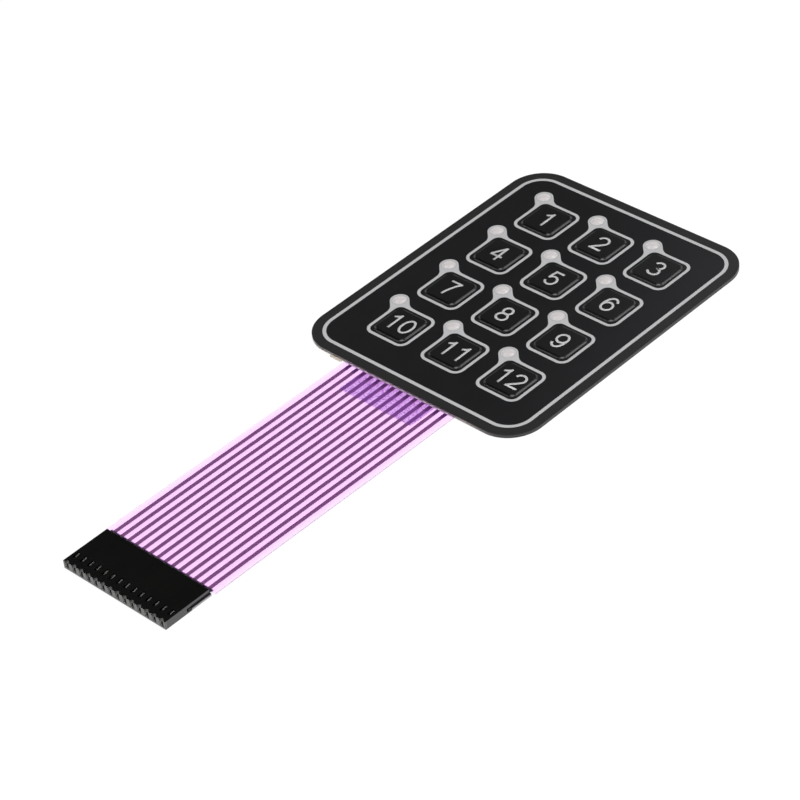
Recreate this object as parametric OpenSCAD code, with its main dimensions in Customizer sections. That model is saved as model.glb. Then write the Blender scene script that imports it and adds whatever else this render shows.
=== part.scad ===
// Membrane keypad: a laminated panel with twelve embossed keys, a light window beside each key,
// and a film tail that ends in a crimped socket connector.
// The panel lies on its back: X runs along a row of keys, Y up the columns, Z out of the front.

/* [Panel] */
// Width of the panel
panel_w = 75.5; // [72:0.5:90]
// Length of the panel
panel_l = 94.3; // [92:0.1:110]
// Corner radius of the panel
panel_r = 10; // [4:0.5:12]

/* [Layers] */
// Thickness of the release liner
liner_t = 0.1; // [0.05:0.01:0.2]
// Thickness of the rear adhesive
rear_adhesive_t = 0.15; // [0.05:0.01:0.25]
// Thickness of the circuit film
circuit_t = 0.2; // [0.1:0.01:0.25]
// Thickness of the spacer
spacer_t = 0.2; // [0.15:0.01:0.4]
// Thickness of the overlay adhesive
overlay_adhesive_t = 0.1; // [0.05:0.01:0.2]
// Thickness of the overlay film
overlay_t = 0.25; // [0.15:0.01:0.3]
// Thickness of a printed layer
print_t = 0.03; // [0.02:0.005:0.05]

/* [Keys] */
// Keys in a row
key_cols = 3; // [2:1:3]
// Rows of keys
key_rows = 4; // [2:1:4]
// Distance between key centres
key_pitch = 19; // [18.5:0.1:19.5]
// Distance of the key field's centre to the right of the panel's centre
key_field_x = 0.95; // [-1:0.05:1]
// Distance of the key field's centre above the panel's centre
key_field_y = 0.15; // [-1:0.05:1]
// Width of a key where its wall leaves the panel
key_base = 11; // [10.6:0.1:11.5]
// Corner radius of a key at its base
key_r = 1.9; // [1.4:0.1:2.5]
// Width of the sloping wall, seen from above
key_wall = 0.65; // [0.4:0.05:1]
// Height of a key above the panel
key_h = 0.5; // [0.35:0.05:0.7]

/* [Light windows] */
// Distance of a window from its key's centre, to the left and up
window_offset = 7.8; // [7.6:0.1:8.2]
// Diameter of a window's dome
window_d = 3.2; // [2.8:0.1:3.6]
// Height of a window's dome
window_h = 0.4; // [0.35:0.05:0.5]

/* [Silver print] */
// Distance from the panel's edge to the middle of the border line
border_inset = 3.3; // [2:0.1:4]
// Width of the border line
border_line = 1.2; // [0.6:0.1:2]
// Outer width of a key outline
outline_w = 14.1; // [13.6:0.1:14.6]
// Line width of a key outline
outline_line = 0.95; // [0.6:0.05:1.3]
// Outer corner radius of a key outline
outline_r = 2.8; // [2:0.1:3.5]
// Diameter of the round end that holds a window
halo_d = 5.1; // [4.8:0.1:5.6]
// Radius of the hollow curves between the neck and the outline
neck_r = 3.3; // [2.5:0.1:4.5]

/* [Domes and lamps] */
// Diameter of a snap dome
dome_d = 10; // [8:0.1:10]
// Thickness of a snap dome
dome_t = 0.1; // [0.05:0.01:0.12]
// Width of a dome's flat rim
dome_rim = 0.4; // [0.2:0.05:0.6]
// Gap between a dome's crown and its key
dome_gap = 0.05; // [0.02:0.01:0.15]
// Gap round a dome in the spacer
dome_clearance = 0.2; // [0.1:0.05:0.3]
// Width of the printed ring under a dome's rim
pad_ring = 0.8; // [0.6:0.1:1.2]
// Diameter of the printed pad under a dome's crown
pad_d = 3; // [1:0.1:4]
// Length of a lamp
led_l = 1.6; // [1:0.1:1.7]
// Width of a lamp
led_w = 0.8; // [0.5:0.1:0.9]
// Height of a lamp
led_h = 0.5; // [0.3:0.05:0.5]
// Height of a lamp's base
led_base_h = 0.2; // [0.1:0.05:0.25]
// Length of a lamp's lens
led_lens_l = 1; // [0.6:0.05:1]

/* [Tail] */
// Width of the tail
tail_w = 38; // [37:0.5:44]
// Length of the tail between panel and connector
tail_l = 83; // [60:1:140]
// Distance of the tail's middle to the right of the panel's centre
tail_x = -0.95; // [-4:0.05:4]
// Width of a conductor
trace_w = 1.13; // [0.5:0.01:1.2]
// Width of the tape patch under the tail
patch_w = 24.9; // [15:0.1:34]
// Length of the tape patch from the panel's edge
patch_l = 9; // [5:0.5:15]
// Thickness of the tape patch
patch_t = 0.08; // [0.05:0.01:0.15]
// Corner radius of the tape patch
patch_r = 0.6; // [0.3:0.1:3]
// Width of the liner's finger tab
finger_tab_w = 4.2; // [3:0.1:8]
// Reach of the liner's finger tab past the panel's edge
finger_tab_l = 0.7; // [0.5:0.1:2]
// Corner radius of the liner's finger tab
finger_tab_r = 0.5; // [0.2:0.1:0.5]
// Distance of the finger tab to the left of the panel's centre
finger_tab_x = 23; // [22:0.5:25]

/* [Connector] */
// Number of ways
ways = 14; // [10:1:14]
// Distance between ways
way_pitch = 2.54; // [2.5:0.01:2.6]
// Length of the connector
conn_l = 14.3; // [13.8:0.1:18]
// Height of the connector
conn_h = 2.4; // [2.3:0.05:3]
// Length of the front block with the sockets
block_l = 8.3; // [7.8:0.1:8.5]
// Thickness of the roof over the film
roof_t = 0.75; // [0.6:0.05:0.85]
// Thickness of the hinged lower cover
cover_t = 0.85; // [0.75:0.05:0.9]
// Gap between cover and front block
cover_gap = 0.1; // [0.05:0.01:0.15]
// Reach of the cover behind the roof
cover_reach = 0.4; // [0:0.05:0.5]
// Distance from the connector's end to the film's edge in the slot
film_edge_gap = 0.25; // [0.15:0.05:0.3]
// Distance from the connector to the shoulders where the tail narrows
shoulder_gap = 0.6; // [0.2:0.1:2]
// Distance from the front block to the film's end
film_end_gap = 0.3; // [0.1:0.05:0.6]
// Width of a contact cell
cell_w = 1.5; // [1.4:0.05:1.6]
// Thickness of the floor under a cell
cell_floor = 0.5; // [0.3:0.05:0.6]
// Thickness of the ceiling over a cell
cell_ceiling = 0.4; // [0.3:0.05:0.5]
// Thickness of the front wall before the cells
front_wall = 0.9; // [0.85:0.05:1.1]
// Width of a socket through the front wall
socket_w = 0.9; // [0.75:0.05:1.2]
// Width of a socket's flared mouth
mouth_w = 1.35; // [1.25:0.05:1.6]
// Depth of a socket's flared mouth
mouth_depth = 0.3; // [0.2:0.05:0.5]
// Radius of the tapered groove at the top edge over a socket
groove_r = 0.75; // [0.5:0.05:0.8]
// Length of the groove, down the front face
groove_h = 2; // [1.5:0.1:2.2]
// Width of a latch window in the roof
latch_w = 0.9; // [0.7:0.1:1.2]
// Length of a latch window
latch_l = 2.1; // [1.8:0.1:2.4]
// Distance of the latch windows from the front
latch_y = 2.3; // [2.1:0.1:2.8]
// Length of the hinge pocket in each end
pocket_l = 1.4; // [1.1:0.1:1.8]
// Height of the hinge pocket
pocket_h = 1; // [0.9:0.05:1.2]
// Depth of the hinge pocket
pocket_depth = 0.45; // [0.3:0.05:0.45]
// Diameter of the cover's hinge barrel
barrel_d = 0.5; // [0.3:0.05:0.5]

/* [Contacts] */
// Thickness of the contact metal
contact_t = 0.2; // [0.1:0.02:0.2]
// Width of the pin that a contact takes
pin_w = 0.64; // [0.5:0.01:0.68]
// Gap between pin and contact wall
pin_gap = 0.03; // [0.01:0.01:0.05]
// Length of a contact's walls
wall_l = 4.4; // [4:0.1:5]
// Gap round a contact in its cell
contact_gap = 0.1; // [0.05:0.05:0.2]
// Gap over a contact and over its latch
latch_gap = 0.05; // [0.03:0.01:0.1]
// Width of a contact's latch
tongue_w = 0.35; // [0.25:0.05:0.6]
// Lap of the latch on the strip that carries it
latch_lap = 0.1; // [0.05:0.05:0.15]
// Gap between the latch's tip and the end of its window
latch_end_gap = 0.2; // [0.1:0.05:0.4]
// Length of the crimp blade under the film
blade_l = 4.4; // [4:0.1:5]
// Distance from the front block to the crimp blade
blade_gap = 0.2; // [0.1:0.05:0.4]
// Length of a crimp tine
tine_l = 0.8; // [0.5:0.1:1]
// Distance of the first tines from the blade's front
tine_first = 1.3; // [1:0.1:1.5]
// Distance between the two rows of tines
tine_pitch = 1.9; // [1.2:0.1:2]
// Reach of a folded tine over the conductor
tine_fold = 0.6; // [0.3:0.05:0.7]
// Gap between film and tine
tine_gap = 0.04; // [0.02:0.01:0.05]
// Gap between conductor and tine
trace_gap = 0.05; // [0.03:0.01:0.08]

/* [Hidden] */
$fn = 48;
bend_steps = 8;
tail_steps = 16;
overlap = 0.5;

liner_z = 0;
rear_adhesive_z = liner_z + liner_t;
circuit_z = rear_adhesive_z + rear_adhesive_t;
circuit_top = circuit_z + circuit_t;
spacer_z = circuit_top;
overlay_adhesive_z = spacer_z + spacer_t;
overlay_z = overlay_adhesive_z + overlay_adhesive_t;
overlay_top = overlay_z + overlay_t;

key_count = key_cols * key_rows;
key_corner = key_base / 2 - key_r;
dome_seat = circuit_top + print_t;
dome_h = overlay_z + key_h - dome_gap - dome_seat;
dome_crown = dome_h - dome_t;
dome_reach = dome_d / 2 - dome_rim;
dome_sphere = (pow(dome_reach, 2) + pow(dome_crown, 2)) / (2 * dome_crown);
window_sphere = (pow(window_d / 2, 2) + pow(window_h, 2)) / (2 * window_h);
window_centre_z = overlay_top + window_h - window_sphere;

tail_root = -panel_l / 2;
conn_w = ways * way_pitch;
conn_rear = tail_root - tail_l;
conn_front = conn_rear - conn_l;
film_seat = cover_t + contact_t;
tail_rise = film_seat - circuit_z;
slot_film_w = conn_w - 2 * film_edge_gap;
shoulder = conn_rear + shoulder_gap;
film_end = conn_front + block_l + film_end_gap;

cell_h = conn_h - cell_floor - cell_ceiling;
socket_z = conn_h / 2;
contact_front = front_wall + contact_gap;
contact_w = pin_w + 2 * (pin_gap + contact_t);
wall_top = conn_h - cell_ceiling - latch_gap - contact_t;
blade_w = trace_w + 2 * (trace_gap + contact_t);
blade_start = block_l + blade_gap;
tine_rows = [tine_first, tine_first + tine_pitch];
pocket_y = block_l - pocket_l / 2;
pocket_z = cell_floor + pocket_h / 2;

// Keys count from the top left, along each row.
function key_pos(i) = [
    key_field_x + ((i - 1) % key_cols - (key_cols - 1) / 2) * key_pitch,
    key_field_y + ((key_rows - 1) / 2 - floor((i - 1) / key_cols)) * key_pitch];
function window_pos(i) = key_pos(i) + [-window_offset, window_offset];
function way_x(i) = tail_x + (i - (ways + 1) / 2) * way_pitch;

// A soft step from 0 to 1, level at both ends.
function soft_step(s) = s * s * (3 - 2 * s);

// The tail's rise over its length, as distance from the panel and height.
rise_table = [for (k = [0:tail_steps]) [tail_l * k / tail_steps, tail_rise * soft_step(k / tail_steps)]];
function rise_at(y) = lookup(tail_root - y, rise_table);
function stations(y_from, y_to) = concat(
    [y_from],
    [for (p = rise_table) if (tail_root - p[0] < y_from && tail_root - p[0] > y_to) tail_root - p[0]],
    [y_to]);

function arc(centre, r, from, to, steps) = [
    for (k = [0:steps])
        let (a = from + (to - from) * k / steps)
        centre + r * [cos(a), sin(a)]];

module at_keys() {
    for (i = [1:key_count]) translate(key_pos(i)) children();
}

module at_windows() {
    for (i = [1:key_count]) translate(window_pos(i)) children();
}

module rounded(w, l, r) {
    square([w - 2 * r, l], center = true);
    square([w, l - 2 * r], center = true);
    for (x = [-1, 1], y = [-1, 1])
        translate([x * (w / 2 - r), y * (l / 2 - r)]) circle(r);
}

module panel_outline() {
    rounded(panel_w, panel_l, panel_r);
}

// A strip that follows the tail's rise, between two distances from the film's underside.
module ribbon(x_from, x_to, y_from, y_to, low, high) {
    path = [for (y = stations(y_from, y_to)) [y, circuit_z + rise_at(y)]];
    upper = [for (p = path) p + [0, high]];
    lower = [for (k = [len(path) - 1:-1:0]) path[k] + [0, low]];
    translate([x_from, 0, 0])
        rotate([90, 0, 90])
        linear_extrude(x_to - x_from)
        polygon(concat(upper, lower));
}

// The height of a key's wall at the share s of its slope, from its head to its soft foot.
function wall_height(s) = key_h * pow(1 - s, 2);

// The section of a key's wall: the film keeps its thickness upwards and thins on the slope.
// Its foot laps into the flat film, so that the two join in one solid.
function key_wall_section() = concat(
    [[0, key_h], [0, key_h + overlay_t]],
    [for (k = [0:bend_steps])
        let (s = k / bend_steps)
        [key_r - key_wall * (1 - s), overlay_t + wall_height(s)]],
    [[key_r + overlap, overlay_t], [key_r + overlap, 0]],
    [for (k = [bend_steps:-1:0])
        let (s = k / bend_steps)
        [key_r - key_wall * (1 - s), wall_height(s)]]);

module key_emboss() {
    translate([0, 0, key_h])
        linear_extrude(overlay_t) square(2 * key_corner, center = true);
    for (side = [0:3]) rotate(90 * side) {
        translate([key_corner, key_corner, 0])
            rotate_extrude(angle = 90) polygon(key_wall_section());
        translate([key_corner, key_corner, 0])
            rotate([90, 0, 0])
            linear_extrude(2 * key_corner) polygon(key_wall_section());
    }
}

module window_dome() {
    intersection() {
        translate([0, 0, window_centre_z]) sphere(window_sphere);
        translate([0, 0, overlay_z]) cylinder(d = window_d, h = overlay_t + window_h + overlap);
    }
}

module window_hollow() {
    translate([0, 0, window_centre_z]) sphere(window_sphere - overlay_t);
}

module overlay() {
    color("#222325") {
        difference() {
            union() {
                translate([0, 0, overlay_z]) linear_extrude(overlay_t) difference() {
                    panel_outline();
                    at_keys() rounded(key_base, key_base, key_r);
                }
                at_windows() window_dome();
            }
            at_windows() window_hollow();
        }
        translate([0, 0, overlay_z]) at_keys() key_emboss();
    }
}

// The outline of a key: three rounded corners, and a straight neck with a round end at the fourth.
function outline_points() = let (
    half = outline_w / 2,
    r = halo_d / 2,
    near = half - outline_r,
    neck_x = -half - neck_r,
    neck_y = -neck_x - (r + neck_r) * sqrt(2))
    concat(
        arc([neck_x, neck_y], neck_r, 45, 0, bend_steps),
        arc([-near, -near], outline_r, 180, 270, bend_steps),
        arc([near, -near], outline_r, 270, 360, bend_steps),
        arc([near, near], outline_r, 0, 90, bend_steps),
        arc([-neck_y, -neck_x], neck_r, -90, -135, bend_steps),
        arc([-window_offset, window_offset], r, 45, 225, 3 * bend_steps));

module key_outline() {
    inner = outline_w - 2 * outline_line;
    difference() {
        polygon(outline_points());
        rounded(inner, inner, outline_r - outline_line);
        translate([-window_offset, window_offset]) circle(d = window_d);
    }
}

module silver_print() {
    outer = -2 * border_inset + border_line;
    inner = -2 * border_inset - border_line;
    corner = panel_r - border_inset;
    color("#bcbcbe") translate([0, 0, overlay_top]) linear_extrude(print_t) {
        difference() {
            rounded(panel_w + outer, panel_l + outer, corner + border_line / 2);
            rounded(panel_w + inner, panel_l + inner, corner - border_line / 2);
        }
        at_keys() key_outline();
    }
}

module led_windows() {
    color("#dcd6d6") at_windows() difference() {
        intersection() {
            translate([0, 0, window_centre_z]) sphere(window_sphere + print_t);
            translate([0, 0, overlay_top]) cylinder(d = window_d, h = window_h + overlap);
        }
        translate([0, 0, window_centre_z]) sphere(window_sphere);
    }
}

module overlay_adhesive() {
    color("#e6e2d6") translate([0, 0, overlay_adhesive_z]) linear_extrude(overlay_adhesive_t)
        difference() {
            panel_outline();
            at_keys() rounded(key_base, key_base, key_r);
            at_windows() circle(d = window_d);
        }
}

module spacer() {
    color("#303134") translate([0, 0, spacer_z]) linear_extrude(spacer_t) difference() {
        panel_outline();
        at_keys() circle(d = dome_d + 2 * dome_clearance);
        at_windows() circle(d = window_d);
    }
}

module contact_pads() {
    color("#3a3a3c") translate([0, 0, circuit_top]) linear_extrude(print_t) at_keys() {
        circle(d = pad_d);
        difference() {
            circle(d = dome_d);
            circle(d = dome_d - 2 * pad_ring);
        }
    }
}

// The tine slots that the crimp cuts in the film, one pair to each tine row of each way.
module tine_slots() {
    for (i = [1:ways], row = tine_rows, side = [-1, 1])
        translate([
            way_x(i) + side * (blade_w - contact_t) / 2,
            conn_front + blade_start + row,
            film_seat + circuit_t / 2])
            cube([contact_t + 2 * tine_gap, tine_l + 2 * tine_gap, circuit_t + overlap], center = true);
}

module circuit_film() {
    color([0.95, 0.8, 1, 0.8]) {
        translate([0, 0, circuit_z]) linear_extrude(circuit_t) panel_outline();
        ribbon(tail_x - tail_w / 2, tail_x + tail_w / 2, tail_root, shoulder, 0, circuit_t);
        difference() {
            ribbon(tail_x - slot_film_w / 2, tail_x + slot_film_w / 2, shoulder, film_end, 0, circuit_t);
            tine_slots();
        }
    }
}

module tail_traces() {
    color("#6b3b6d") for (i = [1:ways])
        ribbon(way_x(i) - trace_w / 2, way_x(i) + trace_w / 2, tail_root, film_end,
            circuit_t, circuit_t + print_t);
}

module tail_patch() {
    color([0.78, 0.6, 0.92, 0.9]) intersection() {
        ribbon(tail_x - patch_w / 2, tail_x + patch_w / 2, tail_root, tail_root - patch_l, -patch_t, 0);
        translate([tail_x, tail_root, liner_z])
            linear_extrude(conn_h) rounded(patch_w, 2 * patch_l, patch_r);
    }
}

module rear_adhesive() {
    color("#efe9dc") translate([0, 0, rear_adhesive_z]) linear_extrude(rear_adhesive_t) panel_outline();
}

module release_liner() {
    color("#e3d3b0") translate([0, 0, liner_z]) linear_extrude(liner_t) {
        panel_outline();
        translate([-finger_tab_x, tail_root])
            rounded(finger_tab_w, 2 * finger_tab_l, finger_tab_r);
    }
}

// The underside of a dome, from its crown to the edge of its flat rim.
function dome_under() = [
    for (k = [0:bend_steps])
        let (r = dome_reach * k / bend_steps)
        [r, dome_crown - dome_sphere + sqrt(pow(dome_sphere, 2) - pow(r, 2))]];

module snap_dome(i) {
    under = concat(dome_under(), [[dome_d / 2, 0]]);
    over = [for (k = [len(under) - 1:-1:0]) under[k] + [0, dome_t]];
    color("#c9cbce") translate(key_pos(i)) translate([0, 0, dome_seat])
        rotate_extrude() polygon(concat(under, over));
}

module led(i) {
    color("#f2efe4") translate(window_pos(i)) translate([0, 0, circuit_top]) {
        translate([-led_l / 2, -led_w / 2, 0]) cube([led_l, led_w, led_base_h]);
        translate([-led_lens_l / 2, -led_w / 2, led_base_h]) cube([led_lens_l, led_w, led_h - led_base_h]);
    }
}

// Moves to the connector: x from its middle, y back from its front face.
module at_connector() {
    translate([tail_x, conn_front, 0]) children();
}

// The outline of a socket along its depth, the same across its width and its height.
function socket_section() = let (
    flare = (mouth_w - socket_w) / 2 / mouth_depth,
    right = [
        [-overlap, mouth_w / 2 + flare * overlap],
        [mouth_depth, socket_w / 2],
        [front_wall + overlap, socket_w / 2]])
    concat(right, [for (k = [2:-1:0]) [right[k][0], -right[k][1]]]);

// A square socket with a flared mouth, in a tapered groove that opens at the top edge.
module socket_mouth() {
    intersection() {
        linear_extrude(conn_h) polygon([for (p = socket_section()) [p[1], p[0]]]);
        translate([-mouth_w, 0, socket_z]) rotate([90, 0, 90])
            linear_extrude(2 * mouth_w) polygon(socket_section());
    }
    translate([0, 0, conn_h - groove_h])
        cylinder(r1 = 0, r2 = groove_r * (groove_h + overlap) / groove_h, h = groove_h + overlap);
}

module connector_cell() {
    socket_mouth();
    translate([-cell_w / 2, front_wall, cell_floor]) cube([cell_w, block_l - front_wall, cell_h]);
    translate([-latch_w / 2, latch_y, conn_h - cell_ceiling])
        cube([latch_w, latch_l, cell_ceiling + overlap]);
}

module connector_housing() {
    color("#141413") at_connector() difference() {
        union() {
            translate([-conn_w / 2, 0, 0]) cube([conn_w, block_l, conn_h]);
            translate([-conn_w / 2, block_l, conn_h - roof_t]) cube([conn_w, conn_l - block_l, roof_t]);
        }
        for (i = [1:ways]) translate([way_x(i) - tail_x, 0, 0]) connector_cell();
        for (side = [-1, 1])
            translate([side * (conn_w + overlap - pocket_depth) / 2, pocket_y, pocket_z])
                cube([pocket_depth + overlap, pocket_l, pocket_h], center = true);
    }
}

// The cover hinges on two barrels at its top edge, one in each end pocket.
module connector_cover() {
    lug_w = pocket_depth - 2 * cover_gap;
    color("#6a6a6a") at_connector() {
        translate([-conn_w / 2, block_l + cover_gap, 0])
            cube([conn_w, conn_l + cover_reach - block_l - cover_gap, cover_t]);
        for (side = [-1, 1])
            translate([side * (conn_w / 2 - pocket_depth + cover_gap + lug_w / 2), pocket_y, cover_t]) {
                rotate([0, 90, 0]) cylinder(d = barrel_d, h = lug_w, center = true);
                translate([-lug_w / 2, 0, -barrel_d / 2])
                    cube([lug_w, pocket_l / 2 + cover_gap + overlap, barrel_d / 2]);
            }
    }
}

// One stamped contact: a U-shaped receptacle, a latch that springs into the roof window,
// and a blade whose tines pierce the film and fold down on the conductor.
module contact(i) {
    kink_from = contact_front + wall_l;
    kink_to = block_l - blade_gap;
    blade_joint = blade_start + blade_gap;
    base_top = cell_floor + contact_t;
    latch_root = latch_y - latch_lap;
    latch_tip = latch_y + latch_l - latch_end_gap;
    latch_top = conn_h - latch_gap;
    fold_z = film_seat + circuit_t + print_t;
    color("#cfc9ba") at_connector() translate([way_x(i) - tail_x, 0, 0]) {
        translate([-contact_w / 2, 0, 0]) rotate([90, 0, 90]) linear_extrude(contact_w) polygon([
            [contact_front, cell_floor], [kink_from, cell_floor],
            [kink_to, cover_t], [blade_joint, cover_t],
            [blade_joint, film_seat], [kink_to, film_seat],
            [kink_from, base_top], [contact_front, base_top]]);
        for (side = [-1, 1])
            translate([side * (contact_w - contact_t) / 2 - contact_t / 2, contact_front, base_top])
                cube([contact_t, wall_l, wall_top - base_top]);
        translate([-contact_w / 2, contact_front, wall_top])
            cube([contact_w, latch_y - contact_front, contact_t]);
        translate([-tongue_w / 2, 0, 0]) rotate([90, 0, 90]) linear_extrude(tongue_w) polygon([
            [latch_root, wall_top], [latch_tip, latch_top - contact_t],
            [latch_tip, latch_top], [latch_root, wall_top + contact_t]]);
        translate([-blade_w / 2, blade_start, cover_t]) cube([blade_w, blade_l, contact_t]);
        for (row = tine_rows, side = [0, 1]) translate([0, blade_start + row, 0]) mirror([side, 0, 0]) {
            translate([blade_w / 2 - contact_t, -tine_l / 2, film_seat])
                cube([contact_t, tine_l, fold_z + contact_t - film_seat]);
            translate([blade_w / 2 - tine_fold, -tine_l / 2, fold_z])
                cube([tine_fold, tine_l, contact_t]);
        }
    }
}

overlay();
silver_print();
led_windows();
overlay_adhesive();
spacer();
contact_pads();
circuit_film();
tail_traces();
tail_patch();
rear_adhesive();
release_liner();
connector_housing();
connector_cover();
for (i = [1:key_count]) {
    snap_dome(i);
    led(i);
}
for (i = [1:ways]) {
    contact(i);
}
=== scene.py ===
import math

import bpy
from mathutils import Matrix, Vector


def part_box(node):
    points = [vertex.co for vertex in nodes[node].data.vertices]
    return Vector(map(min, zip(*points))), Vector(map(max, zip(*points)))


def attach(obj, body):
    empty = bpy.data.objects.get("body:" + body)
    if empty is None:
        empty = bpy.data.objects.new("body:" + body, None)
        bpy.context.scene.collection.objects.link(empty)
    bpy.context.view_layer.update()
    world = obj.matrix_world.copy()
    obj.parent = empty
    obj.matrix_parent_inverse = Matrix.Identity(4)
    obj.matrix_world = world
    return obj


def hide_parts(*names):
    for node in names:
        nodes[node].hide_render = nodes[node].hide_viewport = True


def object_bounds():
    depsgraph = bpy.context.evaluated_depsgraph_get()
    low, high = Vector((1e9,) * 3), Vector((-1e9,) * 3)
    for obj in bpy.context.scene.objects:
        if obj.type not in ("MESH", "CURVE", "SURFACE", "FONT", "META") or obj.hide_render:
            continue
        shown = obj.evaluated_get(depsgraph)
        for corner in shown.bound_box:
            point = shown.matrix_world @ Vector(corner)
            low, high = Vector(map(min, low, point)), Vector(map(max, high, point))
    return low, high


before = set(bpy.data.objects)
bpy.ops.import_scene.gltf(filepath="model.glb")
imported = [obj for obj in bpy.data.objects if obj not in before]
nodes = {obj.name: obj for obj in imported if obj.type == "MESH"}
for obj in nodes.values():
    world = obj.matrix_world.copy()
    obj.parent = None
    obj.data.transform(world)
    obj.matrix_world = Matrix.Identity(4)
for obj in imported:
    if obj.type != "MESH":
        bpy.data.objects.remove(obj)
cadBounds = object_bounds()
mm = 0.001
print("frame:", len(nodes), "CAD nodes")

bpy.context.scene.view_settings.view_transform = "Standard"


class Field:
    def __init__(self, tree, socket):
        self.tree = tree
        self.socket = socket

    # any node: its type, its settings, then the values or links of its sockets
    def make(self, kind, settings=None, inputs=None, output=0):
        made = self.tree.nodes.new(kind)
        for key, value in (settings or {}).items():
            setattr(made, key, value)
        for key, value in (inputs or {}).items():
            plug(self.tree, made.inputs[key], value)
        return Field(self.tree, made.outputs[output])

    def math(self, operation, *values):
        return self.make("ShaderNodeMath", {"operation": operation}, dict(enumerate(values)))

    def __add__(self, other):
        return self.math("ADD", self, other)

    def __radd__(self, other):
        return self.math("ADD", other, self)

    def __sub__(self, other):
        return self.math("SUBTRACT", self, other)

    def __rsub__(self, other):
        return self.math("SUBTRACT", other, self)

    def __mul__(self, other):
        return self.math("MULTIPLY", self, other)

    def __rmul__(self, other):
        return self.math("MULTIPLY", other, self)

    def __pow__(self, other):
        return self.math("POWER", self, other)

    def __abs__(self):
        return self.math("ABSOLUTE", self)

    def atLeast(self, low):
        return self.math("MAXIMUM", self, low)

    def wrap(self, low, high):
        return self.math("WRAP", self, high, low)


def plug(tree, socket, value):
    if isinstance(value, Field):
        tree.links.new(value.socket, socket)
    elif isinstance(value, tuple) and len(value) == 3 and len(socket.default_value) == 4:
        socket.default_value = (*value, 1)
    else:
        socket.default_value = value


# a new material with its shader, and the object's coordinates in millimetres
def startFinish(name):
    material = bpy.data.materials.new(name)
    material.use_nodes = True
    tree = material.node_tree
    shader = tree.nodes["Principled BSDF"]
    place = Field(tree, tree.nodes.new("ShaderNodeTexCoord").outputs["Object"])
    place = place.make("ShaderNodeVectorMath", {"operation": "SCALE"}, {0: place, "Scale": 1 / mm})
    return material, shader, place


def setShader(shader, **values):
    for key, value in values.items():
        plug(shader.id_data, shader.inputs[key.replace("_", " ")], value)


def axis(place, index):
    return place.make("ShaderNodeSeparateXYZ", {}, {0: place}, index)


def smoothRange(value, low, high):
    return value.make("ShaderNodeMapRange", {"interpolation_type": "SMOOTHSTEP"},
                      {"Value": value, "From Min": low, "From Max": high})


def mixColour(share, first, second):
    return share.make("ShaderNodeMix", {"data_type": "RGBA"},
                      {0: share, 6: first, 7: second}, 2)


# a look's noise is its scale, detail and roughness, and the stretch of its place
def noise(place, scale, detail=2, rough=0.5, stretch=None):
    if stretch:
        place = place.make("ShaderNodeMapping", {}, {"Vector": place, "Scale": stretch})
    return place.make("ShaderNodeTexNoise", {},
                      {"Vector": place, "Scale": scale, "Detail": detail, "Roughness": rough})


# a look's relief is its strength, and its height in millimetres
def bump(height, strength, distance):
    return height.make("ShaderNodeBump", {},
                       {"Strength": strength, "Distance": distance * mm, "Height": height})


# a look's roughness is its lowest value, and how far the noise lifts it
def spread(share, low, span):
    return low + span * share


def length(first, second):
    return (first ** 2 + second ** 2) ** 0.5


def srgb(red, green, blue):
    def linear(level):
        level = level / 255
        return level / 12.92 if level <= 0.04045 else ((level + 0.055) / 1.055) ** 2.4
    return linear(red), linear(green), linear(blue)


def middleOf(name):
    low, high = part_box(name)
    return (low + high) / 2


# the middle of a node and half its width, in millimetres
def widthOf(name):
    low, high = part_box(name)
    return (low.x + high.x) / 2 / mm, (high.x - low.x) / 2 / mm


panelLow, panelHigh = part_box("overlay")
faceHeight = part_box("silver_print")[0].z / mm

overlayLook = {
    # the face's two colours are its lit and shaded ends, for painted light and shade across the panel,
    # mixed with its grain
    "face": srgb(37, 37, 39),
    "faceShadeAndGrain": srgb(10, 10, 12),
    "paintedLightSlope": (0.14, 0.06),      # painted light: the face and the keys pale towards their far right corner, where the lamps' sheen falls
    "paintedLightReach": (-1.0, 11.5),
    "grain": (3.2, 4, 0.6),
    "grainShare": 0.2,
    "cloud": (0.12, 2),
    # the keys' two colours are their painted lit and shaded ends
    "key": srgb(34, 34, 36),
    "keyPaintedShade": srgb(12, 12, 13),
    "keyFoot": (0.02, 0.1),         # heights over the face where the key's dark print begins
    "cornerRadius": 10.0,           # of the panel, in mm
    "borderInset": 3.3,             # from the panel's edge to the border line
    "rim": srgb(42, 41, 39),
    "rimShare": 0.3,
    "rimBlur": 0.3,
    "rough": (0.26, 0.06),
    "rimRough": 0.05,
    "relief": (0.2, 0.02),
    "specular": 0.4,
}
borderLine = overlayLook["cornerRadius"] - overlayLook["borderInset"]


# the distance from the panel's straight core, so that a rim rounds its corners
def outward(place):
    reach = (panelHigh - panelLow) / 2 / mm
    cores = [reach[k] - overlayLook["cornerRadius"] for k in (0, 1)]
    return length(*((abs(axis(place, k)) - cores[k]).atLeast(0) for k in (0, 1)))


# the right side of the panel's layers lies in shade
sideLook = {
    "shade": srgb(46, 44, 43),
    "depth": (0.08, 0.02),      # inside the panel's edge
    "turn": (19.5, 33.0),       # along the edge, towards the right
}


def sideShade(place, colour):
    start, end = (overlayLook["cornerRadius"] - depth for depth in sideLook["depth"])
    edge = smoothRange(outward(place), start, end)
    right = smoothRange(axis(place, 0), *sideLook["turn"])
    return mixColour(edge * right, colour, sideLook["shade"])


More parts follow.
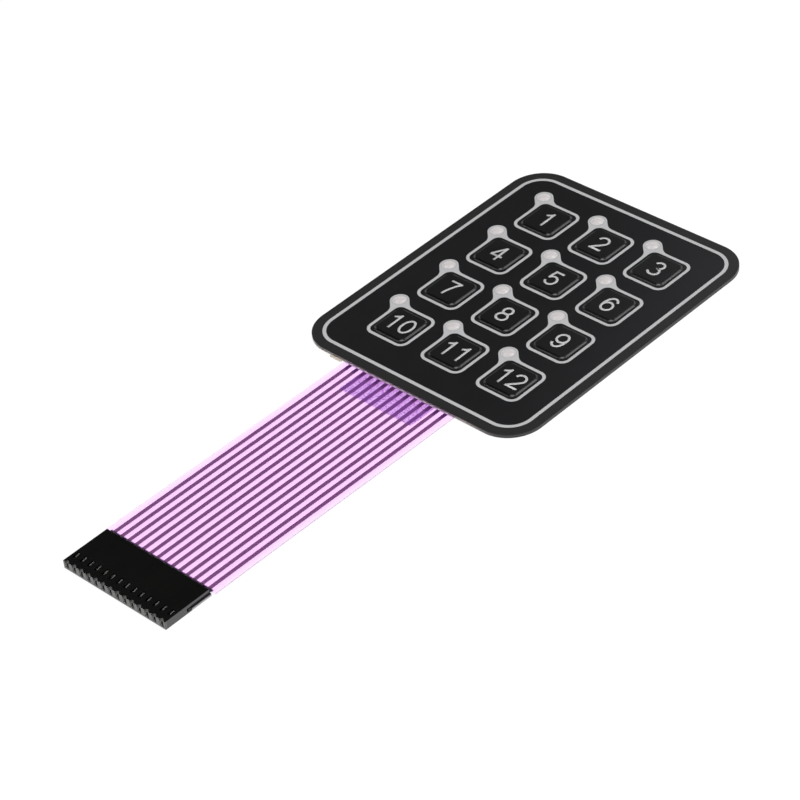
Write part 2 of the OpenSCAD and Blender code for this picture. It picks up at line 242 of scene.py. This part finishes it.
def makeOverlayFilm():
    look = overlayLook
    material, shader, place = startFinish("overlayFilm")
    x, y, z = (axis(place, k) for k in range(3))
    rim = smoothRange(outward(place), borderLine, borderLine + look["rimBlur"])
    key = smoothRange(z - faceHeight, *look["keyFoot"])
    grain = noise(place, *look["grain"])
    cloud = noise(place, *look["cloud"])
    # painted light and shade: the face and the keys grow lighter towards the far right corner
    slopeX, slopeY = look["paintedLightSlope"]
    paintedLight = smoothRange(slopeX * x + slopeY * y, *look["paintedLightReach"])
    share = (1 - look["grainShare"]) * paintedLight + look["grainShare"] * grain
    colour = mixColour(share, look["faceShadeAndGrain"], look["face"])
    colour = mixColour(look["rimShare"] * rim, colour, look["rim"])
    colour = mixColour(key, colour, mixColour(paintedLight, look["keyPaintedShade"], look["key"]))
    setShader(shader, Base_Color=colour, Normal=bump(grain, *look["relief"]),
              Roughness=spread(cloud, *look["rough"]) + look["rimRough"] * rim,
              Specular_IOR_Level=look["specular"])
    return material


# the grid of light windows, in mm
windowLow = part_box("led_windows")[0] / mm
windowGrid = {
    "radius": 1.6,
    "pitch": 19.0,
}


# the distance from the nearest window's centre
def fromWindow(place):
    half = windowGrid["pitch"] / 2
    centres = [windowLow[k] + windowGrid["radius"] for k in (0, 1)]
    return length(*((axis(place, k) - centres[k]).wrap(-half, half) for k in (0, 1)))


windowLook = {
    "heart": srgb(177, 171, 172),
    "edge": srgb(174, 171, 171),
    "heartReach": (0.9, 1.4),
    "heartShare": 0.65,
    "mist": (1.4, 2),
    "rough": (0.32, 0.12),
    "relief": (0.05, 0.02),
    "coat": 0.2,
}


def makeWindowInk():
    look = windowLook
    material, shader, place = startFinish("windowInk")
    heart = 1 - smoothRange(fromWindow(place), *look["heartReach"])
    mist = noise(place, *look["mist"])
    share = look["heartShare"] * heart + (1 - look["heartShare"]) * mist
    setShader(shader, Base_Color=mixColour(share, look["edge"], look["heart"]),
              Roughness=spread(mist, *look["rough"]), Normal=bump(mist, *look["relief"]),
              Coat_Weight=look["coat"])
    return material


# the bright middle of the silver lines, in mm from the straight cores of the panel and of a key's outline
lineLook = {
    "fringe": srgb(22, 22, 23),     # the lines' dark edges
    "blur": 0.03,
    "borderHalf": 0.48,
    "borderZone": (5.0, 5.5),
    "outlineCore": 4.25,
    "outlineReach": (1.91, 2.74),
    "neck": (7.5, 9.1),             # towards the window the outer edge stays bright
    "cell": (11.5, 7.5),            # around a key's centre, towards its window and away from it
}


def outlineShare(place):
    look = lineLook
    middle = middleOf("snap_dome_1") / mm
    far, near = look["cell"]
    across = (axis(place, 0) - middle.x).wrap(-far, near)
    up = (axis(place, 1) - middle.y).wrap(-near, far)
    reach = length(*((abs(offset) - look["outlineCore"]).atLeast(0) for offset in (across, up)))
    inner, outer = look["outlineReach"]
    inside = 1 - smoothRange(reach, outer, outer + look["blur"])
    neck = smoothRange(up - across, *look["neck"])
    return smoothRange(reach, inner - look["blur"], inner) * inside.atLeast(neck)


def lineShare(place):
    look = lineLook
    reach = outward(place)
    half = look["borderHalf"]
    border = 1 - smoothRange(abs(reach - borderLine), half, half + look["blur"])
    zone = smoothRange(reach, *look["borderZone"])
    return zone * border + (1 - zone) * outlineShare(place)


inkLook = {
    "pale": srgb(175, 175, 176),
    "deep": srgb(150, 150, 152),
    "number": srgb(182, 182, 183),
    "creaseShade": srgb(142, 141, 142),      # painted shade of the emboss crease, in a ring around each window
    "creaseShadeReach": (1.9, 2.02, 2.2),
    "lines": (1.6, 3, 0.6, (0.25, 6, 1)),
    "linesShare": 0.65,
    "flakes": (9, 2),
    "rough": (0.4, 0.2),
    "relief": (0.15, 0.01),
    "metallic": 0.15,
}


# the grain of the ink, and its flakes
def inkGrain(place):
    lines = noise(place, *inkLook["lines"])
    flakes = noise(place, *inkLook["flakes"])
    return inkLook["linesShare"] * lines + (1 - inkLook["linesShare"]) * flakes, flakes


def finishInk(shader, colour, grain, flakes):
    setShader(shader, Base_Color=colour, Roughness=spread(flakes, *inkLook["rough"]),
              Normal=bump(grain, *inkLook["relief"]), Metallic=inkLook["metallic"])


def makeSilverInk():
    material, shader, place = startFinish("silverInk")
    reach = fromWindow(place)
    inner, middle, outer = inkLook["creaseShadeReach"]
    within = 1 - smoothRange(reach, inner, middle)
    # painted shade: a darker ring in the silver where the window's emboss creases it
    clear = smoothRange(reach, middle, outer)
    grain, flakes = inkGrain(place)
    colour = mixColour(grain, inkLook["deep"], inkLook["pale"])
    colour = mixColour(clear, inkLook["creaseShade"], colour)
    colour = mixColour(within, colour, windowLook["edge"])
    finishInk(shader, mixColour(lineShare(place), lineLook["fringe"], colour), grain, flakes)
    return material


def makeNumberInk():
    material, shader, place = startFinish("numberInk")
    grain, flakes = inkGrain(place)
    finishInk(shader, mixColour(grain, inkLook["deep"], inkLook["number"]), grain, flakes)
    return material


# the tail: distances in mm from the panel's edge, and behind the connector's roof
tailStart = panelLow.y / mm
roofLow, roofHigh = (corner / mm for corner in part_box("connector_housing"))
roofMiddle, roofHalf = widthOf("connector_housing")
tailLook = {
    "hem": srgb(176, 150, 178),     # the strip of adhesive at the panel's edge
    "hemReach": (0.25, 0.6),
    "shade": srgb(22, 6, 30),       # under the connector's roof
    "shadeReach": (1.0, 1.5),
    "shadeBlur": 0.1,
}


def hemShare(place):
    return 1 - smoothRange(tailStart - axis(place, 1), *tailLook["hemReach"])


def shadeShare(place):
    blur = tailLook["shadeBlur"]
    under = 1 - smoothRange(abs(axis(place, 0) - roofMiddle), roofHalf - blur, roofHalf + blur)
    return under * (1 - smoothRange(axis(place, 1) - roofHigh.y, *tailLook["shadeReach"]))


filmLook = {
    "lilac": (0.902, 0.289, 1.0),
    "margin": (0.93, 0.48, 1.0),
    "marginReach": (-1.6, 1.2),     # from the side of the connector's roof
    "edge": srgb(150, 128, 156),    # the cut edge on the right
    "edgeReach": (18.98, 19.0),     # from the tail's middle
    "haze": (0.35, 3, 0.5, (1, 0.4, 1)),
    "opacity": (0.26, 0.04),        # of each of the film's two faces
    "edgeOpacity": 0.4,
    "hemOpacity": 0.3,              # more, at the panel's edge
    "shadeOpacity": 0.74,
    "rough": (0.22, 0.12),
    "relief": (0.05, 0.05),
}


def makeTailFilm():
    look = filmLook
    material, shader, place = startFinish("tailFilm")
    side = axis(place, 0) - roofMiddle
    margin = smoothRange(abs(side) - roofHalf, *look["marginReach"])
    edge = smoothRange(side, *look["edgeReach"])
    hem = hemShare(place)
    shade = shadeShare(place)
    haze = noise(place, *look["haze"])
    colour = mixColour(margin, look["lilac"], look["margin"])
    colour = mixColour(hem, colour, tailLook["hem"])
    colour = mixColour(edge, colour, look["edge"])
    colour = mixColour(shade, colour, tailLook["shade"])
    cover = spread(haze, *look["opacity"]) + look["edgeOpacity"] * edge
    cover = cover + look["hemOpacity"] * hem + look["shadeOpacity"] * shade
    setShader(shader, Base_Color=sideShade(place, colour), Alpha=cover,
              Roughness=spread(haze, *look["rough"]), Normal=bump(haze, *look["relief"]))
    return material


traceLook = {
    "ink": srgb(100, 52, 100),
    "taped": srgb(97, 45, 117),     # over the tape patch
    "tapeReach": (8.5, 9.5),
    "tapeBlur": 0.1,
    "root": srgb(66, 12, 78),       # beside the panel
    "rootReach": (1.6, 3.6),
    "streak": (0.9, 3, 0.6, (3, 0.3, 1)),
    "streakShare": 0.2,
    "rough": (0.35, 0.15),
    "relief": (0.05, 0.01),
}


def makeTraceInk():
    look = traceLook
    material, shader, place = startFinish("traceInk")
    along = tailStart - axis(place, 1)
    streak = noise(place, *look["streak"])
    patchMiddle, patchHalf = widthOf("tail_patch")
    side = abs(axis(place, 0) - patchMiddle)
    taped = 1 - smoothRange(along, *look["tapeReach"])
    taped = taped * (1 - smoothRange(side, patchHalf, patchHalf + look["tapeBlur"]))
    colour = mixColour(taped, look["ink"], look["taped"])
    colour = mixColour(smoothRange(along, *look["rootReach"]), look["root"], colour)
    colour = mixColour(look["streakShare"] * streak, colour, look["root"])
    colour = mixColour(hemShare(place), colour, tailLook["hem"])
    colour = mixColour(shadeShare(place), colour, tailLook["shade"])
    setShader(shader, Base_Color=colour, Roughness=spread(streak, *look["rough"]),
              Normal=bump(streak, *look["relief"]))
    return material


patchLook = {
    "violet": (0.57, 0.48, 0.71),
    "fleck": (0.2, 0.1, 0.4),
    "fleckEdge": (0.5, 0.58),
    "blotch": (2.2, 4, 0.65),
    "rough": (0.35, 0.2),
    "relief": (0.1, 0.02),
}


def makePatchTape():
    look = patchLook
    material, shader, place = startFinish("patchTape")
    blotch = noise(place, *look["blotch"])
    fleck = smoothRange(blotch, *look["fleckEdge"])
    setShader(shader, Base_Color=mixColour(fleck, look["violet"], look["fleck"]),
              Roughness=spread(blotch, *look["rough"]), Normal=bump(blotch, *look["relief"]))
    return material


# the layers that show at the panel's edge
linerLook = {
    "name": "linerPaper",
    "deep": srgb(172, 163, 148),
    "pale": srgb(192, 183, 168),
    "grain": (2.2, 5, 0.65, (1, 0.35, 1)),
    "rough": (0.75, 0.15),
    "relief": (0.2, 0.03),
}
adhesiveLook = {
    "name": "clearAdhesive",
    "deep": srgb(186, 180, 166),
    "pale": srgb(208, 203, 190),
    "grain": (1.7, 3),
    "rough": (0.3, 0.2),
    "relief": (0.1, 0.02),
}


def makeLayer(look):
    material, shader, place = startFinish(look["name"])
    grain = noise(place, *look["grain"])
    colour = mixColour(grain, look["deep"], look["pale"])
    setShader(shader, Base_Color=sideShade(place, colour),
              Roughness=spread(grain, *look["rough"]), Normal=bump(grain, *look["relief"]))
    return material


# the plain mouldings and inks inside
mouldingLooks = {
    "spacer": {"name": "spacerFilm", "deep": srgb(40, 40, 43), "pale": srgb(60, 60, 63),
               "grain": (2.0, 4, 0.6), "rough": (0.4, 0.04)},
    "contact_pads": {"name": "carbonInk", "deep": srgb(22, 22, 23), "pale": srgb(40, 40, 41),
                     "grain": (5.0, 4, 0.6), "rough": (0.6, 0.04)},
    "led": {"name": "lampResin", "deep": srgb(228, 222, 200), "pale": srgb(243, 239, 224),
            "grain": (4.0, 4, 0.6), "rough": (0.25, 0.04)},
}
# the connector's mouldings, with distances in mm behind its front
housingLook = {
    "name": "housingBlack",
    "deep": srgb(2, 2, 2),
    "pale": srgb(5, 5, 4),
    "grain": (4.0, 4, 0.6),
    "rough": (0.1, 0.04),
    "paintedFrontLight": srgb(60, 59, 57),     # painted light on the front, in and beside the socket grooves, for its reflection of the lit floor
    "paintedFrontLightReach": (0.4, 0.7),
    "paintedFrontLightTop": (-0.15, -0.04),    # from the roof
    "index": 1.85,
}
flowLook = {
    "flow": (0.25, 2, 0.5, (1, 0.3, 1)),
    "share": 0.5,
    "relief": (0.1, 0.01),
}


# a moulding's finish, with its place and its colour, to which a piece may add its own
def startMoulding(look):
    material, shader, place = startFinish(look["name"])
    grain = noise(place, *look["grain"])
    flow = noise(place, *flowLook["flow"])
    share = (1 - flowLook["share"]) * grain + flowLook["share"] * flow
    colour = mixColour(share, look["deep"], look["pale"])
    setShader(shader, Base_Color=colour, Roughness=spread(flow, *look["rough"]),
              Normal=bump(grain, *flowLook["relief"]))
    return material, shader, place, colour


def makeMoulding(look):
    return startMoulding(look)[0]


def makeHousingMoulding():
    look = housingLook
    material, shader, place, colour = startMoulding(look)
    # painted light: the front below the roof is lightened, as if lit by the floor
    front = 1 - smoothRange(axis(place, 1) - roofLow.y, *look["paintedFrontLightReach"])
    below = 1 - smoothRange(axis(place, 2) - roofHigh.z, *look["paintedFrontLightTop"])
    setShader(shader, Base_Color=mixColour(front * below, colour, look["paintedFrontLight"]), IOR=look["index"])
    return material


coverLook = {
    "pale": srgb(168, 167, 167),
    "deep": srgb(152, 151, 151),
    "barrel": srgb(16, 16, 16),     # painted shade on the hinge barrels in the end pockets
    "barrelReach": (1.0, 1.1),
    "slot": srgb(26, 20, 28),       # the upper edge, in the slot's shade
    "slotRise": (0.54, 0.58),       # above the underside
    "grain": (4.0, 4, 0.6),
    "rough": (0.3, 0.15),
    "relief": (0.1, 0.01),
}


def makeCoverMoulding():
    look = coverLook
    material, shader, place = startFinish("coverGrey")
    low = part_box("connector_cover")[0] / mm
    grain = noise(place, *look["grain"])
    slot = smoothRange(axis(place, 2) - low.z, *look["slotRise"])
    # painted shade: the hinge barrels darken inside their pockets
    clear = smoothRange(axis(place, 1) - low.y, *look["barrelReach"])
    colour = mixColour(grain, look["deep"], look["pale"])
    colour = mixColour(slot, colour, look["slot"])
    colour = mixColour(clear, look["barrel"], colour)
    setShader(shader, Base_Color=colour, Roughness=spread(grain, *look["rough"]),
              Normal=bump(grain, *look["relief"]))
    return material


domeLook = {
    "name": "domeSteel",
    "deep": srgb(190, 191, 194),
    "pale": srgb(214, 215, 217),
    "rough": (0.25, 0.15),
}
contactLook = {
    "name": "contactTin",
    "deep": srgb(74, 73, 70),
    "pale": srgb(94, 92, 89),
    "rough": (0.4, 0.15),
    "shade": srgb(12, 12, 12),      # the latch's root, down in its window
    "shadeReach": (2.75, 3.1),
}
metalLook = {
    "grain": (2.5, 3, 0.6, (4, 0.4, 1)),
    "relief": (0.1, 0.01),
}


def startMetal(look):
    material, shader, place = startFinish(look["name"])
    grain = noise(place, *metalLook["grain"])
    colour = mixColour(grain, look["deep"], look["pale"])
    setShader(shader, Base_Color=colour, Roughness=spread(grain, *look["rough"]),
              Normal=bump(grain, *metalLook["relief"]), Metallic=1.0)
    return material, shader, place, colour


def makeDomeSteel():
    return startMetal(domeLook)[0]


def makeContactTin():
    material, shader, place, colour = startMetal(contactLook)
    clear = smoothRange(axis(place, 1) - roofLow.y, *contactLook["shadeReach"])
    setShader(shader, Base_Color=mixColour(clear, contactLook["shade"], colour))
    return material


numberInk = makeNumberInk()
adhesive = makeLayer(adhesiveLook)
finishes = {
    "overlay": makeOverlayFilm(),
    "silver_print": makeSilverInk(),
    "led_windows": makeWindowInk(),
    "overlay_adhesive": adhesive,
    "circuit_film": makeTailFilm(),
    "tail_traces": makeTraceInk(),
    "tail_patch": makePatchTape(),
    "rear_adhesive": adhesive,
    "release_liner": makeLayer(linerLook),
    "connector_housing": makeHousingMoulding(),
    "connector_cover": makeCoverMoulding(),
    "snap_dome": makeDomeSteel(),
    "contact": makeContactTin(),
}
for family, look in mouldingLooks.items():
    finishes[family] = makeMoulding(look)
for name, node in nodes.items():
    family = name if name in finishes else name.rsplit("_", 1)[0]
    node.data.materials.clear()
    node.data.materials.append(finishes[family])
print("finishes:", len(bpy.data.materials), "materials")


def deselectAll():
    if bpy.context.object and bpy.context.object.mode != "OBJECT":
        bpy.ops.object.mode_set(mode="OBJECT")
    bpy.ops.object.select_all(action="DESELECT")


def selectOnly(*pieces):
    deselectAll()
    for piece in pieces:
        piece.select_set(True)
    bpy.context.view_layer.objects.active = pieces[0]


def addObject(name, data):
    added = bpy.data.objects.new(name, data)
    bpy.context.scene.collection.objects.link(added)
    return added


# copies of the connector's mouldings with their long outer edges rounded, in mm
edgePlan = {
    "pieces": {"connector_housing": "housing_black", "connector_cover": "cover_grey"},
    "radius": 0.09,
    "segments": 4,
    "shortest": 0.5,    # shorter edges stay sharp
    "near": 0.005,
    "merge": 0.001,
    "flatAngle": 1,
}


def countTouched(point, low, high):
    near = edgePlan["near"] * mm
    return sum(min(abs(point[k] - low[k]), abs(point[k] - high[k])) < near for k in range(3))


def roundEdges(name):
    low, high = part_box(name)
    piece = addObject(f"rounded.{name}", nodes[name].data.copy())
    selectOnly(piece)
    bpy.ops.object.mode_set(mode="EDIT")
    bpy.ops.mesh.select_all(action="SELECT")
    bpy.ops.mesh.remove_doubles(threshold=edgePlan["merge"] * mm)
    bpy.ops.mesh.dissolve_limited(angle_limit=math.radians(edgePlan["flatAngle"]))
    bpy.ops.mesh.select_mode(type="EDGE")
    bpy.ops.mesh.select_all(action="DESELECT")
    bpy.ops.object.mode_set(mode="OBJECT")
    chosen = 0
    for edge in piece.data.edges:
        a, b = (piece.data.vertices[k].co for k in edge.vertices)
        isLong = (a - b).length > edgePlan["shortest"] * mm
        edge.select = isLong and countTouched((a + b) / 2, low, high) == 2
        chosen += edge.select
    bpy.ops.object.mode_set(mode="EDIT")
    bpy.ops.mesh.bevel(offset=edgePlan["radius"] * mm, segments=edgePlan["segments"])
    bpy.ops.object.mode_set(mode="OBJECT")
    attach(piece, "root")
    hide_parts(name)
    return chosen


for name, slotName in edgePlan["pieces"].items():
    print("rounded:", name, roundEdges(name), "edges")


# the numbers on the keys, drawn as strokes of one width, in millimetres from a digit's middle
numberPlan = {
    "height": 6.0,
    "width": 3.9,
    "stroke": 0.68,
    "thickness": 0.03,
    "advance": 4.6,
    "arcPoints": 24,
    "merge": 0.002,
}
halfW = (numberPlan["width"] - numberPlan["stroke"]) / 2
halfH = (numberPlan["height"] - numberPlan["stroke"]) / 2
edgeH = numberPlan["height"] / 2


def bow(centreX, centreY, radiusX, radiusY, start, end):
    count = numberPlan["arcPoints"]
    turns = [math.radians(start + (end - start) * k / count) for k in range(count + 1)]
    return [(centreX + radiusX * math.cos(t), centreY + radiusY * math.sin(t)) for t in turns]


def ring(centreX, centreY, radiusX, radiusY, start=0):
    return bow(centreX, centreY, radiusX, radiusY, start, start + 360)[:-1]


# a digit's closed rings come first
ringCount = {"0": 1, "6": 1, "8": 2, "9": 1}
sixStrokes = [
    ring(0.02, -0.98, 1.59, halfH - 0.98, 180),
    bow(0.16, -0.1, halfW + 0.14, halfH + 0.1, 190, 34),
]
digitStrokes = {
    "0": [ring(0, 0, halfW, halfH)],
    "1": [[(0.5, edgeH), (0.5, -edgeH)], [(0.62, 2.74), (0.1, 2.2), (-0.5, 1.78), (-1.2, 1.46)]],
    "2": [bow(0, 1.12, halfW - 0.03, halfH - 1.12, 168, -32)
          + [(0.9, -0.15), (0.2, -0.92), (-0.7, -1.68), (-1.25, -2.25), (-1.5, -2.72)],
          [(-halfW - 0.32, -halfH), (halfW + 0.26, -halfH)]],
    "3": [bow(0, 1.4, 1.4, halfH - 1.4, 165, -90) + bow(0, -1.26, halfW, 1.4, 90, -165)[1:]],
    "4": [[(0.66, edgeH), (0.66, -edgeH)], [(0.56, 2.75), (-1.72, -1.02)],
          [(-2.0, -1.16), (1.85, -1.16)]],
    "5": [[(1.58, halfH), (-1.22, halfH)], [(-0.98, 2.9), (-1.42, -0.22)],
          bow(0.02, -0.95, halfW - 0.02, halfH - 0.95, 148, -160)],
    "6": sixStrokes,
    "7": [[(-halfW - 0.2, halfH), (halfW + 0.3, halfH)],
          [(1.62, 2.7), (0.72, 1.35), (0.05, -0.2), (-0.38, -1.7), (-0.5, -edgeH)]],
    "8": [ring(0, 1.38, 1.32, halfH - 1.38), ring(0, -1.22, halfW, halfH - 1.22)],
    "9": [[(-x, -y) for x, y in stroke] for stroke in sixStrokes],
}


def drawLine(curve, points, closed):
    line = curve.splines.new("POLY")
    line.points.add(len(points) - 1)
    for point, (x, y) in zip(line.points, points):
        point.co = (x * mm, y * mm, 0, 1)
    line.use_cyclic_u = closed


def makeStrokeProfile():
    outline = bpy.data.curves.new("strokeProfile", "CURVE")
    outline.dimensions = "2D"
    w, t = numberPlan["stroke"] / 2, numberPlan["thickness"] / 2
    drawLine(outline, ((-w, -t), (w, -t), (w, t), (-w, t)), True)
    return addObject("strokeProfile", outline)


def makeStroke(profile, points, closed):
    path = bpy.data.curves.new("stroke", "CURVE")
    path.dimensions = "3D"
    path.twist_mode = "Z_UP"
    path.bevel_mode = "OBJECT"
    path.bevel_object = profile
    path.use_fill_caps = not closed
    drawLine(path, points, closed)
    selectOnly(addObject("stroke", path))
    bpy.ops.object.convert(target="MESH")
    bpy.ops.object.mode_set(mode="EDIT")
    bpy.ops.mesh.select_all(action="SELECT")
    bpy.ops.mesh.remove_doubles(threshold=numberPlan["merge"] * mm)
    bpy.ops.mesh.normals_make_consistent(inside=False)
    bpy.ops.object.mode_set(mode="OBJECT")
    return bpy.context.object


def uniteInto(piece, others):
    for other in others:
        union = piece.modifiers.new("union", "BOOLEAN")
        union.operation = "UNION"
        union.solver = "EXACT"
        union.object = other
        bpy.context.view_layer.objects.active = piece
        bpy.ops.object.modifier_apply(modifier=union.name)
        bpy.data.objects.remove(other)
    return piece


def makeDigit(profile, digit):
    rings = ringCount.get(digit, 0)
    strokes = [makeStroke(profile, points, k < rings) for k, points in enumerate(digitStrokes[digit])]
    return uniteInto(strokes[0], strokes[1:])


def placeNumber(digits, number):
    text = str(number)
    middle = middleOf(f"snap_dome_{number}")
    height = panelHigh.z + numberPlan["thickness"] / 2 * mm
    parts = []
    for k, d in enumerate(text):
        part = addObject("digit", digits[d].data.copy())
        along = (k - (len(text) - 1) / 2) * numberPlan["advance"] * mm
        part.data.transform(Matrix.Translation((middle.x + along, middle.y, height)))
        parts.append(part)
    selectOnly(*parts)
    if len(parts) > 1:
        bpy.ops.object.join()
    piece = bpy.context.object
    piece.name = f"keyNumber{number}"
    piece.data.name = piece.name
    piece.data.materials.clear()
    piece.data.materials.append(numberInk)
    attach(piece, "root")


def makeKeyNumbers():
    profile = makeStrokeProfile()
    digits = {d: makeDigit(profile, d) for d in digitStrokes}
    keys = sum(name.startswith("snap_dome_") for name in nodes)
    for number in range(1, keys + 1):
        placeNumber(digits, number)
    for used in (profile, *digits.values()):
        bpy.data.objects.remove(used)
    return keys


print("numbers:", makeKeyNumbers(), "keys")


# camera at the photograph's angle
cameraPlan = {
    "azimuth": 47.7875,
    "elevation": 38.2038,
    "roll": -7.0615,
    "distance": 750.447,
    "target": (2.979, -50.881, 1.0),
    "focal": 3011.27,       # in pixels of the 800 pixel frame
    "framePixels": 800,
    "sensor": 36.0,
    "nearest": 10.0,        # the start of what it sees
}


def makeCamera():
    plan = cameraPlan
    turn, rise, roll = (math.radians(plan[k]) for k in ("azimuth", "elevation", "roll"))
    back = Vector((math.sin(turn) * math.cos(rise), -math.cos(turn) * math.cos(rise), math.sin(rise)))
    right = (-back).cross(Vector((0, 0, 1))).normalized()
    up = right.cross(-back)
    tiltedRight = right * math.cos(roll) + up * math.sin(roll)
    tiltedUp = up * math.cos(roll) - right * math.sin(roll)
    camera = addObject("camera", bpy.data.cameras.new("camera"))
    camera.data.sensor_width = plan["sensor"]
    camera.data.lens = plan["focal"] / plan["framePixels"] * plan["sensor"]
    camera.data.clip_start = plan["nearest"] * mm
    camera.matrix_world = Matrix((tiltedRight, tiltedUp, back)).transposed().to_4x4()
    camera.location = (Vector(plan["target"]) + back * plan["distance"]) * mm
    bpy.context.scene.camera = camera


makeCamera()


# white floor, which keeps a faint shadow
floorPlan = {
    "size": 4.0,
    "gap": 0.02,        # below the part, in mm
    "colour": (0.9, 0.9, 0.9),
    "rough": 0.9,
    "keepShadow": 0.12,
}


def makeFloor():
    plan = floorPlan
    deselectAll()
    height = cadBounds[0][2] - plan["gap"] * mm
    bpy.ops.mesh.primitive_plane_add(size=plan["size"], location=(0, 0, height))
    floor = bpy.context.object
    floor.name = "floor"
    material = startFinish("floorPaper")[0]
    tree = material.node_tree
    shader = tree.nodes["Principled BSDF"]
    setShader(shader, Base_Color=plan["colour"], Roughness=plan["rough"])
    light = tree.nodes.new("ShaderNodeLightPath")
    seen = Field(tree, light.outputs["Is Camera Ray"])
    for ray in ("Is Transmission Ray", "Is Glossy Ray"):
        seen = seen.atLeast(Field(tree, light.outputs[ray]))
    white = seen.make("ShaderNodeEmission", {}, {"Color": (1, 1, 1), "Strength": 1.0})
    paper = Field(tree, shader.outputs[0])
    mixed = seen.make("ShaderNodeMixShader", {}, {0: seen * (1 - plan["keepShadow"]), 1: paper, 2: white})
    tree.links.new(mixed.socket, tree.nodes["Material Output"].inputs["Surface"])
    floor.data.materials.append(material)


# a white world for the camera, and for reflections a white sweep that fades upwards and to the sides
worldPlan = {
    "fill": 0.03,
    "sweepSide": (-0.74, 0.67, 0),
    "sweepFade": (0.15, 0.35),      # sine of the height where the sweep fades out
    "sweepSpread": (0.1, 0.6),
    "sweepPower": 1.5,
}


def makeWorld():
    plan = worldPlan
    world = bpy.data.worlds.new("studio")
    bpy.context.scene.world = world
    world.use_nodes = True
    tree = world.node_tree
    seen = Field(tree, tree.nodes.new("ShaderNodeLightPath").outputs["Is Camera Ray"])
    toward = Field(tree, tree.nodes.new("ShaderNodeTexCoord").outputs["Generated"])
    behind = toward.make("ShaderNodeVectorMath", {"operation": "DOT_PRODUCT"},
                         {0: toward, 1: plan["sweepSide"]}, "Value")
    low = 1 - smoothRange(axis(toward, 2), *plan["sweepFade"])
    sweep = low * smoothRange(behind, *plan["sweepSpread"])
    shown = seen.atLeast(plan["sweepPower"] * sweep)
    ground = tree.nodes["Background"]
    setShader(ground, Color=(1, 1, 1), Strength=spread(shown, plan["fill"], 1 - plan["fill"]))


makeFloor()
makeWorld()

# soft boxes: where each stands, its width and its power
lampPlan = {
    "overhead": {"place": (0.30, -0.30, 0.95), "size": 0.8, "power": 13.0},
    "side": {"place": (0.60, 0.62, 0.74), "size": 0.5, "power": 3.8},
    "left": {"place": (-0.62, 0.04, 0.86), "size": 0.25, "power": 1.6},
    "back": {"place": (0.05, 0.60, 0.85), "size": 0.3, "power": 2.2},
}
lampAim = Vector((0, -0.05, 0))


def makeLamps():
    for name, plan in lampPlan.items():
        lamp = addObject(name, bpy.data.lights.new(name, "AREA"))
        lamp.data.shape = "SQUARE"
        lamp.data.size = plan["size"]
        lamp.data.energy = plan["power"]
        lamp.location = plan["place"]
        lamp.rotation_euler = (lampAim - lamp.location).to_track_quat("-Z", "Y").to_euler()


makeLamps()
print("stage:", len(lampPlan), "lamps")

bpy.context.view_layer.update()
